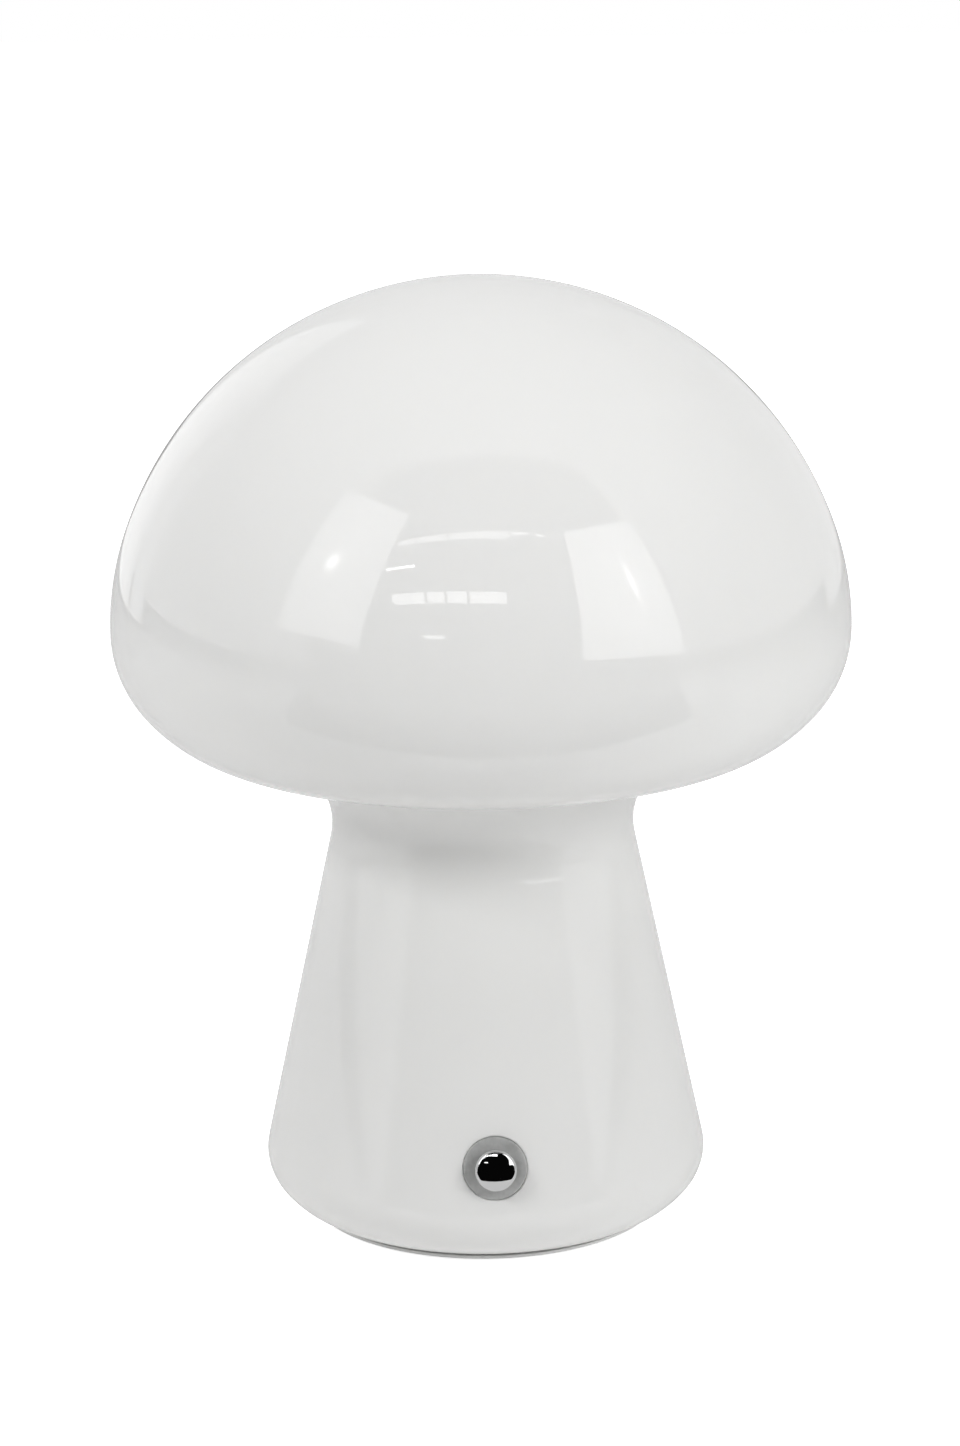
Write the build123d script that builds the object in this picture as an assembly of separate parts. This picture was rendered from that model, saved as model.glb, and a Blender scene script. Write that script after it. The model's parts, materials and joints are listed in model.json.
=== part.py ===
from build123d import *
import os
from math import atan2, cos, pi, radians, sin, sqrt, tan

# Cordless mushroom table lamp: a one-piece blown opal glass on a thin base plate, with a push button at the
# front and a charging socket at the rear. A battery column inside carries the light unit up to the neck.
# Millimetres. +Z is up, the origin is the centre of the foot on the table, the button faces -Y.

# Glass outline, seen from the side, from the top of the cap to the foot
glass_height = 232.5
cap_radius = 90.0
crown_excess = 1.2          # how much larger the crown's arc is than the cap
shoulder_radius = 71.0
rim_radius = 28.4
rim_sweep = radians(39.5)
underside_radius = 36.0
neck_fillet = 18.1
stem_lean = radians(12.3)   # half the stem's taper
base_radius = 55.0
heel_radius = 11.0
heel_sweep = radians(37.0)
opening_radius = 36.5       # hole in the glass's sole that the works go in by
lip_width = 3.0             # flat ring of glass round that hole
glass_wall = 3.2

# Holes in the glass, one at the front and one at the rear
hole_height = 26.7
hole_radius = 7.7
ring_gap = 0.05             # silicone ring in the hole, and everything that fits inside the ring

# Silicone rings that fill the two holes
ring_recess = 0.4
ring_flange_radius = 9.5
ring_flange_depth = 5.6     # back of the flange, below the glass's outer face
seat_gap = 0.05

# Push button and its switch
button_radius = 5.0
button_side = 1.8           # height of the head's side, before its edge is rounded
button_edge = 1.1
button_sphere = 15.0        # curve of the face
button_travel = 1.0
button_stop_gap = 0.3
shank_radius = 2.5
shank_gap = 0.06
sleeve_radius = 4.0
sleeve_length = 9.7
bezel_radius = 4.6
bezel_thickness = 1.4
bridge_radius = 3.4
bridge_thickness = 0.8
bridge_gap = 0.05
rivet_radius = 1.0
rivet_length = 1.1
washer_radius = 6.0
washer_thickness = 0.6
nut_across_flats = 11.0
nut_thickness = 2.6
housing_radius = 6.2
housing_cavity_radius = 5.0
housing_cavity_depth = 6.1
housing_back = 1.2
spring_wire_radius = 0.25
spring_coil_radius = 1.5
spring_turns = 5
spring_stub_radius = 0.9
spring_stub_length = 2.7
terminal_offset = 2.8
terminal_width = 1.2
terminal_thickness = 0.6
terminal_tail = 4.6         # how far a terminal stands out behind the housing

# Charging socket
shell_width = 8.94
shell_height = 3.26
shell_wall = 0.3
shell_length = 7.35
shell_recess = 0.5          # mouth of the socket below the face of its ring
tongue_width = 6.7
tongue_thickness = 0.7
tongue_length = 5.2
tongue_block = 1.4
port_board_width = 12.0
port_board_length = 12.0
port_board_thickness = 1.0
port_board_gap = 0.3

# Base plate, foot ring and the clips that hold the plate to the glass
foot_standoff = 0.3         # the foot ring stands out this far below the plate
sole_lift = 1.0             # glass sole above the table
flange_reach = 7.5
plate_gap = 0.5             # plate's hub inside the glass's opening
floor_thickness = 2.7
rim_wall_width = 5.8
foot_groove_depth = 0.9
foot_width = 5.8
foot_inset = 0.4
foot_gap = 0.1
clip_angles = (30, 150, 270)
clip_overlap = 2.5
clip_width = 8.0
clip_thickness = 1.0
clip_inset = 0.4

# Screws: shank radius, head radius, head height
clip_screw = (1.5, 2.6, 1.6)
lug_screw = (1.5, 2.6, 1.6)
cover_screw = (1.25, 2.2, 1.4)
board_screw = (1.1, 2.0, 1.5)
light_screw = (1.0, 1.9, 1.3)
spigot_screw = (1.25, 2.2, 0.9)
screw_gap = 0.05            # round a screw's shank
head_gap = 0.1              # round a sunk head
clip_screw_stand = 0.8      # clip screw's end above its clip
cover_screw_grip = 8.0
board_screw_grip = 4.0
light_screw_grip = 1.6
spigot_screw_grip = 2.6

# Column with the battery cell in it
column_radius = 12.0
column_bore_radius = 9.8
light_rise = 9.1            # top of the column above the narrowest part of the neck
lug_angles = (0, 120, 240)
lug_offset = 2.4            # lug's screw outside the column's wall
lug_radius = 3.4
lug_height = 3.0
cell_radius = 9.2
cell_length = 65.2
cell_pad_radius = 9.5
cell_pad_thickness = 2.0
spacer_radius = 9.6
spacer_wall = 1.6

# Main board and what stands on it
board_standoff_height = 6.0
board_standoff_radius = 2.4
board_standoff_angles = (60, 180, 300)
board_column_gap = 1.0
board_post_gap = 0.2
board_thickness = 1.6
chips = ((32, 5.0, 1.0), (158, 4.0, 0.9), (250, 4.0, 0.9), (322, 5.0, 1.0))   # angle, side, height
capacitor_angles = (112, 228, 341)
capacitor_radius = 2.5
capacitor_height = 8.0
inductor_angle = 203
inductor_side = 6.0
inductor_height = 3.2
battery_angle = 0
port_angle = 90
light_angle = 135
switch_angle = 270
socket_width = 6.0
socket_depth = 4.5
socket_height = 5.0

# Cover over the board
cover_gap = 0.2
cover_wall = 1.6
cover_height = 28.6
cover_post_radius = 2.6
cover_post_angles = (0, 120, 240)
cover_column_gap = 0.3
cover_hole_radius = 3.6
cover_hole_height = 21.2

# Wires
wire_radius = 0.6
wire_spacing = 1.6
wire_bend = 1.5
solder_gap = 0.4            # from the end of a terminal or a board to the middle of its wire's end
wire_hole_gap = 0.5

# Light unit on top of the column
spreader_radius = 22.0
spreader_thickness = 2.5
spigot_length = 6.0
spigot_gap = 0.1
spigot_screw_angles = (75, 195, 315)
light_board_radius = 20.5
light_board_thickness = 1.6
light_screw_ring = 8.0
light_screw_angles = (90, 210, 330)
led_ring = 16.5
led_count = 12
led_size = (3.5, 2.8, 0.8)
lead_offset = 1.7           # centre of the light unit's leads outside the column's wall
lead_clip_count = 3
lead_clip_width = 5.0
lead_clip_height = 5.0
lead_clip_depth = 3.8
diffuser_wall = 1.6
diffuser_skirt = 2.0
diffuser_straight = 7.5
diffuser_seat = 0.8         # width of the step that stands on the spreader's edge
diffuser_gap = 0.05

# What follows from the sizes above
plate_hub_radius = opening_radius - plate_gap
plate_floor = foot_standoff + floor_thickness
lip_top = sole_lift + glass_wall
rim_wall_inner = plate_hub_radius - rim_wall_width
foot_outer = plate_hub_radius - foot_inset
foot_middle = foot_outer - foot_width / 2
cover_radius = rim_wall_inner - cover_gap
cover_post_ring = cover_radius - cover_wall - cover_post_radius + board_post_gap
board_outer = cover_post_ring - cover_post_radius - board_post_gap
board_inner = column_radius + board_column_gap
board_middle = (board_inner + board_outer) / 2
board_bottom = plate_floor + board_standoff_height
board_top = board_bottom + board_thickness
socket_top = board_top + socket_height
lug_ring = column_radius + lug_offset
lead_ring = column_radius + lead_offset
lead_hole_radius = wire_spacing / 2 + wire_radius + wire_hole_gap
battery_lead_height = cover_hole_height - 2 * wire_bend


def polar(radius, angle):
    return (radius * cos(angle), radius * sin(angle))


def disc(radius, low, high):
    return Pos(0, 0, low) * Cylinder(radius, high - low, align=(Align.CENTER, Align.CENTER, Align.MIN))


def tube(outer, inner, low, high):
    return disc(outer, low, high) - disc(inner, low - 1, high + 1)


def block(width, depth, low, high):
    return Pos(0, 0, low) * Box(width, depth, high - low, align=(Align.CENTER, Align.CENTER, Align.MIN))


# One copy of a shape at each angle, moved out along X first
def spread(shape, radius, angles):
    return [Rot(Z=angle) * Pos(radius, 0, 0) * shape for angle in angles]


def group(shapes):
    return Compound(children=[solid for shape in shapes for solid in shape.solids()])


def even_angles(count):
    return [360 * number / count for number in range(count)]


# A screw that stands on its head's underside at Z = 0, with the shank up
def screw(sizes, length):
    shank, head, height = sizes
    return disc(head, -height, 0) + disc(shank, 0, length)


# The space for that screw: its sunk head, from as far down as depth, and its shank
def screw_space(sizes, depth, length):
    shank, head, height = sizes
    return disc(head + head_gap, -height - depth, 0) + disc(shank + screw_gap, 0, length)


def rod_along(path, radius, is_frenet=False):
    start = Plane(origin=path @ 0, z_dir=path % 0)
    return sweep(start * Circle(radius), path=path, is_frenet=is_frenet)


# Wire that follows points with rounded corners
def wire_along(points):
    return rod_along(FilletPolyline(*points, radius=wire_bend), wire_radius)


# Arcs of the glass's outline: centre, radius, first and last direction, and 1 where it bulges out or -1 where
# it is hollow. The straight stem lies between the fifth and the sixth.
def glass_arcs():
    crown_radius = cap_radius + crown_excess
    crown_z = glass_height - crown_radius
    crown_rise = sqrt((crown_radius - shoulder_radius) ** 2 - (cap_radius - shoulder_radius) ** 2)
    shoulder_z = crown_z + crown_rise
    crown_end = atan2(crown_rise, cap_radius - shoulder_radius)

    under_step = underside_radius - rim_radius
    under_x = cap_radius - rim_radius - under_step * cos(rim_sweep)
    under_z = shoulder_z + under_step * sin(rim_sweep)

    flat_radius = opening_radius + lip_width
    heel_x = base_radius - heel_radius
    sole_radius = heel_radius + (heel_x - flat_radius) / cos(heel_sweep)
    heel_z = sole_lift + sole_radius + (heel_radius - sole_radius) * sin(heel_sweep)

    # The neck fillet's centre lies one fillet outside the stem's line and touches the underside arc
    out_x, out_z = polar(1, stem_lean)
    start_x = heel_x + (heel_radius + neck_fillet) * out_x
    start_z = heel_z + (heel_radius + neck_fillet) * out_z
    to_x, to_z = start_x - under_x, start_z - under_z
    along = -to_x * out_z + to_z * out_x
    away = to_x ** 2 + to_z ** 2 - (underside_radius + neck_fillet) ** 2
    climb = -along - sqrt(along ** 2 - away)
    neck_x = start_x - climb * out_z
    neck_z = start_z + climb * out_x
    under_end = atan2(neck_z - under_z, neck_x - under_x)

    return [
        ((0, crown_z), crown_radius, pi / 2, crown_end, 1),
        ((cap_radius - shoulder_radius, shoulder_z), shoulder_radius, crown_end, 0, 1),
        ((cap_radius - rim_radius, shoulder_z), rim_radius, 0, -rim_sweep, 1),
        ((under_x, under_z), underside_radius, -rim_sweep, under_end, 1),
        ((neck_x, neck_z), neck_fillet, under_end + pi, pi + stem_lean, -1),
        ((heel_x, heel_z), heel_radius, stem_lean, -heel_sweep, 1),
        ((flat_radius, sole_lift + sole_radius), sole_radius, -heel_sweep, -pi / 2, 1),
    ]


arcs = glass_arcs()
neck_height = arcs[4][0][1]
stem_foot = Vector(*arcs[5][0]) + Vector(*polar(heel_radius, stem_lean))
hole_reach = stem_foot.X - (hole_height - stem_foot.Y) * tan(stem_lean)
column_top = neck_height + light_rise
spreader_top = column_top + spreader_thickness
light_board_top = spreader_top + light_board_thickness

# Local frames on the glass's outer face: Z points out along the face's normal, Y up the stem
front = Plane(
    origin=(0, -hole_reach, hole_height),
    x_dir=(1, 0, 0),
    z_dir=(0, -cos(stem_lean), sin(stem_lean)),
).location
rear = Rot(Z=180) * front

# Depths along the button's own axis
ring_face = -ring_recess
bezel_face = ring_face + bezel_thickness
button_underside = bezel_face + button_travel + button_stop_gap
sleeve_end = ring_face - sleeve_length
bridge_front = sleeve_end - bridge_gap
bridge_back = bridge_front - bridge_thickness
washer_back = -ring_flange_depth - washer_thickness
nut_back = washer_back - nut_thickness
housing_inner_end = sleeve_end - housing_cavity_depth
housing_end = housing_inner_end - housing_back
terminal_tip = bridge_back - button_travel - bridge_gap
terminal_end = housing_end - terminal_tail

# Depths along the charging socket's axis
shell_mouth = ring_face - shell_recess
shell_end = shell_mouth - shell_length
port_board_start = -ring_flange_depth - port_board_gap
port_board_end = port_board_start - port_board_length


# Solid of the glass's outline moved inwards by inset
def glass_solid(inset):
    curves = []
    for centre, radius, first, last, bulge in arcs:
        reach = radius - bulge * inset
        places = [Vector(*centre) + Vector(*polar(reach, turn)) for turn in (first, (first + last) / 2, last)]
        if curves and (places[0] - curves[-1] @ 1).length > 0.01:
            curves.append(Line(curves[-1] @ 1, places[0]))
        curves.append(ThreePointArc(*places))
    top = curves[0] @ 0
    sole = curves[-1] @ 1
    curves += [Line(sole, (0, sole.Y)), Line((0, sole.Y), top)]
    return revolve(Plane.XZ * make_face(curves), Axis.Z)


def glass_body():
    body = glass_solid(0) - glass_solid(glass_wall)
    body -= disc(opening_radius, 0, lip_top + glass_wall)
    hole = disc(hole_radius, -2 * ring_flange_depth, ring_flange_depth)
    return body - front * hole - rear * hole


# Silicone ring of one hole: a plug through the glass and a flange that follows the glass's inner face
def silicone_ring(place, opening):
    plug = disc(hole_radius - ring_gap, -ring_flange_depth, ring_face)
    flange = disc(ring_flange_radius, -ring_flange_depth, 0)
    seated = (place * flange) & glass_solid(glass_wall + seat_gap)
    return place * plug + seated - place * opening


def button_ring():
    return silicone_ring(front, disc(sleeve_radius + ring_gap, -2 * ring_flange_depth, ring_flange_depth))


def port_ring():
    return silicone_ring(rear, oval(ring_gap, -2 * ring_flange_depth, ring_flange_depth))


def button_cap():
    side_top = button_underside + button_side
    sphere_middle = side_top - sqrt(button_sphere ** 2 - button_radius ** 2)
    cap = disc(button_radius, button_underside, sphere_middle + button_sphere)
    cap &= Pos(0, 0, sphere_middle) * Sphere(button_sphere)
    cap = fillet(cap.edges().filter_by(Plane.XY).sort_by(Axis.Z)[-1], button_edge)
    cap += disc(shank_radius, bridge_front, button_underside)
    cap += disc(rivet_radius, bridge_front - rivet_length, bridge_front)
    return front * cap


def contact_bridge():
    return front * tube(bridge_radius, rivet_radius, bridge_back, bridge_front)


def switch_sleeve():
    sleeve = disc(sleeve_radius, sleeve_end, ring_face) + disc(bezel_radius, ring_face, bezel_face)
    return front * (sleeve - disc(shank_radius + shank_gap, sleeve_end, bezel_face))


def switch_washer():
    return front * tube(washer_radius, sleeve_radius + ring_gap, washer_back, -ring_flange_depth)


def switch_nut():
    flats = RegularPolygon(nut_across_flats / 2, 6, major_radius=False)
    nut = Pos(0, 0, nut_back) * extrude(flats, nut_thickness)
    return front * (nut - disc(sleeve_radius + ring_gap, nut_back, washer_back))


def terminal_places():
    return [Pos(side * terminal_offset, 0, 0) for side in (-1, 1)]


def switch_housing():
    housing = disc(housing_radius, housing_end, nut_back)
    housing -= disc(sleeve_radius + ring_gap, sleeve_end, nut_back)
    housing -= disc(housing_cavity_radius, housing_inner_end, sleeve_end)
    housing += disc(spring_stub_radius, housing_inner_end, housing_inner_end + spring_stub_length)
    slot = block(terminal_width, terminal_thickness, housing_end, housing_inner_end)
    for place in terminal_places():
        housing -= place * slot
    return front * housing


def switch_terminals():
    blade = block(terminal_width, terminal_thickness, terminal_end, terminal_tip)
    return front * group([place * blade for place in terminal_places()])


def switch_spring():
    height = bridge_back - housing_inner_end - 2 * spring_wire_radius
    path = Helix(height / spring_turns, height, spring_coil_radius)
    coil = rod_along(path, spring_wire_radius, is_frenet=True)
    return front * Pos(0, 0, housing_inner_end + spring_wire_radius) * coil


# Two wires, each the other's mirror image, that lie in one direction from the lamp's axis. Each point gives
# its distance from that axis, its height and its distance from the pair's middle.
def wire_pair(points, angle):
    wires = [wire_along([(reach, side * spacing, z) for reach, z, spacing in points]) for side in (-1, 1)]
    return group([Rot(Z=angle) * wire for wire in wires])


# Distance from the lamp's axis and height of a point at this depth along a hole's axis
def reach_and_height(depth, offset=0):
    reach = hole_reach + depth * cos(stem_lean) - offset * sin(stem_lean)
    return (reach, hole_height + depth * sin(stem_lean) + offset * cos(stem_lean))


# Leads that come in through the cover's side and bend down into their socket on the board
def leads_through_cover(reach, height, spacing, angle):
    inside = cover_radius - cover_wall
    half = wire_spacing / 2
    bend = (board_middle + inside) / 2
    points = [(reach, height, spacing), (inside, cover_hole_height, (spacing + half) / 2)]
    points += [(bend, cover_hole_height - wire_bend, half), (board_middle, socket_top + 2 * wire_bend, half)]
    points += [(board_middle, socket_top, half)]
    return wire_pair(points, angle)


def switch_leads():
    reach, height = reach_and_height(terminal_end - solder_gap)
    return leads_through_cover(reach, height, terminal_offset, switch_angle)


# Round-ended rectangle of the charging socket's shell, grown by this much
def oval(growth, low, high):
    width = shell_width + 2 * growth
    height = shell_height + 2 * growth
    return Pos(0, 0, low) * extrude(SlotOverall(width, height), high - low)


def usb_socket():
    return rear * (oval(0, shell_end, shell_mouth) - oval(-shell_wall, shell_end, shell_mouth))


def usb_tongue():
    root = shell_end + tongue_block
    tongue = oval(-shell_wall, shell_end, root)
    return rear * (tongue + block(tongue_width, tongue_thickness, root, root + tongue_length))


def port_board():
    middle = -shell_height / 2 - port_board_thickness / 2
    board = block(port_board_width, port_board_thickness, port_board_end, port_board_start)
    return rear * Pos(0, middle, 0) * board


def port_leads():
    middle = -shell_height / 2 - port_board_thickness / 2
    reach, height = reach_and_height(port_board_end - solder_gap, middle)
    return leads_through_cover(reach, height, wire_spacing / 2, port_angle)


def base_plate():
    plate = disc(plate_hub_radius, foot_standoff, plate_floor)
    plate += tube(opening_radius + flange_reach, rim_wall_inner, foot_standoff, sole_lift)
    plate += tube(plate_hub_radius, rim_wall_inner, sole_lift, lip_top)
    groove_top = foot_standoff + foot_groove_depth
    plate -= tube(foot_outer + foot_gap, foot_outer - foot_width - foot_gap, foot_standoff, groove_top)
    standoff = disc(board_standoff_radius, plate_floor, board_bottom)
    for boss in spread(standoff, board_middle, board_standoff_angles):
        plate += boss
    return plate - plate_screw_spaces()


# Everything the screws take out of the base plate
def plate_screw_spaces():
    clip_space = Pos(0, 0, clip_screw_seat()) * screw_space(clip_screw, 0, lip_top)
    lug_space = Pos(0, 0, foot_standoff + lug_screw[2]) * screw_space(lug_screw, 1, plate_floor)
    cover_space = Pos(0, 0, foot_standoff + cover_screw[2]) * screw_space(cover_screw, 1, plate_floor)
    board_hole = disc(board_screw[0] + screw_gap, board_bottom - board_screw_grip, board_bottom)
    spaces = spread(clip_space, foot_middle, clip_angles)
    spaces += spread(lug_space, lug_ring, lug_angles)
    spaces += spread(cover_space, cover_post_ring, cover_post_angles)
    spaces += spread(board_hole, board_middle, board_standoff_angles)
    return spaces


# Underside of the clip screws' shank: their heads fill the pocket above the foot ring
def clip_screw_seat():
    return foot_standoff + foot_groove_depth + clip_screw[2]


def foot_pad():
    return tube(foot_outer, foot_outer - foot_width, 0, foot_standoff + foot_groove_depth)


def retaining_clips():
    inner = rim_wall_inner + clip_inset
    length = opening_radius + clip_overlap - inner
    bar = Pos(inner + length / 2, 0, 0) * block(length, clip_width, lip_top, lip_top + clip_thickness)
    bar -= Pos(foot_middle, 0, 0) * disc(clip_screw[0] + screw_gap, 0, lip_top + clip_thickness)
    return group(spread(bar, 0, clip_angles))


def clip_screws():
    seat = clip_screw_seat()
    length = lip_top + clip_thickness + clip_screw_stand - seat
    return group(spread(Pos(0, 0, seat) * screw(clip_screw, length), foot_middle, clip_angles))


def column_tube():
    column = disc(column_radius, plate_floor, column_top)
    for lug in spread(disc(lug_radius, plate_floor, plate_floor + lug_height), lug_ring, lug_angles):
        column += lug
    column -= disc(column_bore_radius, plate_floor, column_top)
    for hole in spread(disc(lug_screw[0] + screw_gap, 0, plate_floor + lug_height), lug_ring, lug_angles):
        column -= hole
    lead_hole = Rot(Y=90) * Cylinder(lead_hole_radius, column_radius)
    column -= Rot(Z=battery_angle) * Pos(column_radius, 0, battery_lead_height) * lead_hole
    for hole in spread(spigot_screw_space(), 0, spigot_screw_angles):
        column -= hole
    return column


def column_screws():
    seat = foot_standoff + lug_screw[2]
    length = plate_floor + lug_height - seat
    return group(spread(Pos(0, 0, seat) * screw(lug_screw, length), lug_ring, lug_angles))


def battery_cell():
    low = plate_floor + cell_pad_thickness
    return disc(cell_radius, low, low + cell_length)


def battery_pads():
    upper = plate_floor + cell_pad_thickness + cell_length
    pad = disc(cell_pad_radius, 0, cell_pad_thickness)
    return group([Pos(0, 0, plate_floor) * pad, Pos(0, 0, upper) * pad])


def cell_spacer():
    low = plate_floor + 2 * cell_pad_thickness + cell_length
    return tube(spacer_radius, spacer_radius - spacer_wall, low, column_top - spigot_length)


def battery_leads():
    half = wire_spacing / 2
    turn = (column_radius + board_middle) / 2
    crest = battery_lead_height + wire_radius
    points = [(column_bore_radius, battery_lead_height, half), (turn, crest, half)]
    points += [(board_middle, battery_lead_height, half), (board_middle, socket_top, half)]
    return wire_pair(points, battery_angle)


def main_board():
    board = tube(board_outer, board_inner, board_bottom, board_top)
    for hole in spread(disc(board_screw[0] + screw_gap, 0, board_top), board_middle, board_standoff_angles):
        board -= hole
    return board


def board_screws():
    turned = Pos(0, 0, board_top) * Rot(X=180) * screw(board_screw, board_thickness + board_screw_grip)
    return group(spread(turned, board_middle, board_standoff_angles))


def board_chips():
    return group([
        Rot(Z=angle) * Pos(board_middle, 0, 0) * block(side, side, board_top, board_top + height)
        for angle, side, height in chips
    ])


def capacitors():
    can = disc(capacitor_radius, board_top, board_top + capacitor_height)
    return group(spread(can, board_middle, capacitor_angles))


def inductor():
    return Rot(Z=inductor_angle) * Pos(board_middle, 0, 0) * block(
        inductor_side, inductor_side, board_top, board_top + inductor_height
    )


def wire_sockets():
    socket = block(socket_depth, socket_width, board_top, socket_top)
    return group(spread(socket, board_middle, (battery_angle, port_angle, light_angle, switch_angle)))


def core_cover():
    top = plate_floor + cover_height
    cover = disc(cover_radius, plate_floor, top)
    cover -= disc(cover_radius - cover_wall, plate_floor, top - cover_wall)
    for post in spread(disc(cover_post_radius, plate_floor, top), cover_post_ring, cover_post_angles):
        cover += post
    cover -= disc(column_radius + cover_column_gap, plate_floor, top)
    cover -= Rot(Z=light_angle) * Pos(lead_ring, 0, 0) * disc(lead_hole_radius, plate_floor, top)
    screw_hole = disc(cover_screw[0] + screw_gap, plate_floor, plate_floor + cover_screw_grip)
    for hole in spread(screw_hole, cover_post_ring, cover_post_angles):
        cover -= hole
    side_hole = Rot(Y=90) * Cylinder(cover_hole_radius, 4 * cover_wall)
    for hole in spread(Pos(0, 0, cover_hole_height) * side_hole, cover_radius, (port_angle, switch_angle)):
        cover -= hole
    return cover


def cover_screws():
    seat = foot_standoff + cover_screw[2]
    length = plate_floor + cover_screw_grip - seat
    return group(spread(Pos(0, 0, seat) * screw(cover_screw, length), cover_post_ring, cover_post_angles))


# A radial screw through the column's wall into the spigot, and the hole for it
def spigot_screw_at(shape):
    return Pos(column_radius, 0, column_top - spigot_length / 2) * Rot(Y=-90) * shape


def spigot_screw_space():
    length = column_radius - column_bore_radius + spigot_screw_grip
    return spigot_screw_at(disc(spigot_screw[0] + screw_gap, -1, length))


def spigot_screws():
    length = column_radius - column_bore_radius + spigot_screw_grip
    return group(spread(spigot_screw_at(screw(spigot_screw, length)), 0, spigot_screw_angles))


def heat_spreader():
    spreader = disc(spreader_radius, column_top, spreader_top)
    spreader += disc(column_bore_radius - spigot_gap, column_top - spigot_length, column_top)
    spreader -= Rot(Z=light_angle) * Pos(lead_ring, 0, 0) * disc(lead_hole_radius, column_top, spreader_top)
    screw_hole = disc(light_screw[0] + screw_gap, spreader_top - light_screw_grip, spreader_top)
    for hole in spread(screw_hole, light_screw_ring, light_screw_angles):
        spreader -= hole
    for hole in spread(spigot_screw_space(), 0, spigot_screw_angles):
        spreader -= hole
    return spreader


def light_board():
    board = disc(light_board_radius, spreader_top, light_board_top)
    board -= Rot(Z=light_angle) * Pos(lead_ring, 0, 0) * disc(lead_hole_radius, spreader_top, light_board_top)
    screw_hole = disc(light_screw[0] + screw_gap, spreader_top, light_board_top)
    for hole in spread(screw_hole, light_screw_ring, light_screw_angles):
        board -= hole
    return board


def light_screws():
    length = light_board_thickness + light_screw_grip
    turned = Pos(0, 0, light_board_top) * Rot(X=180) * screw(light_screw, length)
    return group(spread(turned, light_screw_ring, light_screw_angles))


def led_chips():
    depth, width, height = led_size
    chip = block(depth, width, light_board_top, light_board_top + height)
    return group(spread(chip, led_ring, even_angles(led_count)))


def light_leads():
    half = wire_spacing / 2
    bend = socket_top + 3 * wire_bend
    points = [(board_middle, socket_top, half), (board_middle, bend, half)]
    points += [(lead_ring, bend + 3 * wire_bend, half), (lead_ring, light_board_top, half)]
    return wire_pair(points, light_angle)


def lead_clips():
    clip = Pos(column_radius, 0, 0) * block(2 * lead_clip_depth, lead_clip_width, 0, lead_clip_height)
    clip -= disc(column_radius, 0, lead_clip_height)
    clip -= Pos(lead_ring, 0, 0) * disc(lead_hole_radius, 0, lead_clip_height)
    clip = Rot(Z=light_angle) * clip
    low = plate_floor + cover_height
    step = (column_top - low - lead_clip_height) / (lead_clip_count + 1)
    return group([Pos(0, 0, low + step * number) * clip for number in range(1, lead_clip_count + 1)])


# Upright cylinder with half a ball on it
def domed(radius, low, top):
    return disc(radius, low, top) + (Pos(0, 0, top) * Sphere(radius) & disc(radius, top, top + radius))


# Frosted dome that snaps over the heat spreader's rim and stands on its edge
def light_dome():
    skirt_radius = spreader_radius + diffuser_gap
    low = spreader_top - diffuser_skirt
    straight_top = spreader_top + diffuser_straight
    dome = domed(skirt_radius + diffuser_wall, low, straight_top)
    dome -= domed(spreader_radius - diffuser_seat, spreader_top, straight_top)
    return dome - disc(skirt_radius, low, spreader_top)


nodes = {
    "glass_body": glass_body,
    "base_plate": base_plate,
    "foot_pad": foot_pad,
    "retaining_clips": retaining_clips,
    "clip_screws": clip_screws,
    "button_cap": button_cap,
    "contact_bridge": contact_bridge,
    "button_ring": button_ring,
    "switch_sleeve": switch_sleeve,
    "switch_washer": switch_washer,
    "switch_nut": switch_nut,
    "switch_housing": switch_housing,
    "switch_terminals": switch_terminals,
    "switch_spring": switch_spring,
    "switch_leads": switch_leads,
    "port_ring": port_ring,
    "usb_socket": usb_socket,
    "usb_tongue": usb_tongue,
    "port_board": port_board,
    "port_leads": port_leads,
    "column_tube": column_tube,
    "column_screws": column_screws,
    "battery_cell": battery_cell,
    "battery_pads": battery_pads,
    "cell_spacer": cell_spacer,
    "battery_leads": battery_leads,
    "main_board": main_board,
    "board_screws": board_screws,
    "board_chips": board_chips,
    "capacitors": capacitors,
    "inductor": inductor,
    "wire_sockets": wire_sockets,
    "core_cover": core_cover,
    "cover_screws": cover_screws,
    "heat_spreader": heat_spreader,
    "spigot_screws": spigot_screws,
    "light_board": light_board,
    "light_screws": light_screws,
    "led_chips": led_chips,
    "light_leads": light_leads,
    "lead_clips": lead_clips,
    "light_dome": light_dome,
}

os.makedirs("parts", exist_ok=True)
for name, make in nodes.items():
    export_step(make(), f"parts/{name}.step")
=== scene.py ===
import bpy
import bmesh
import json
import math
from mathutils import Matrix, Vector


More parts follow.
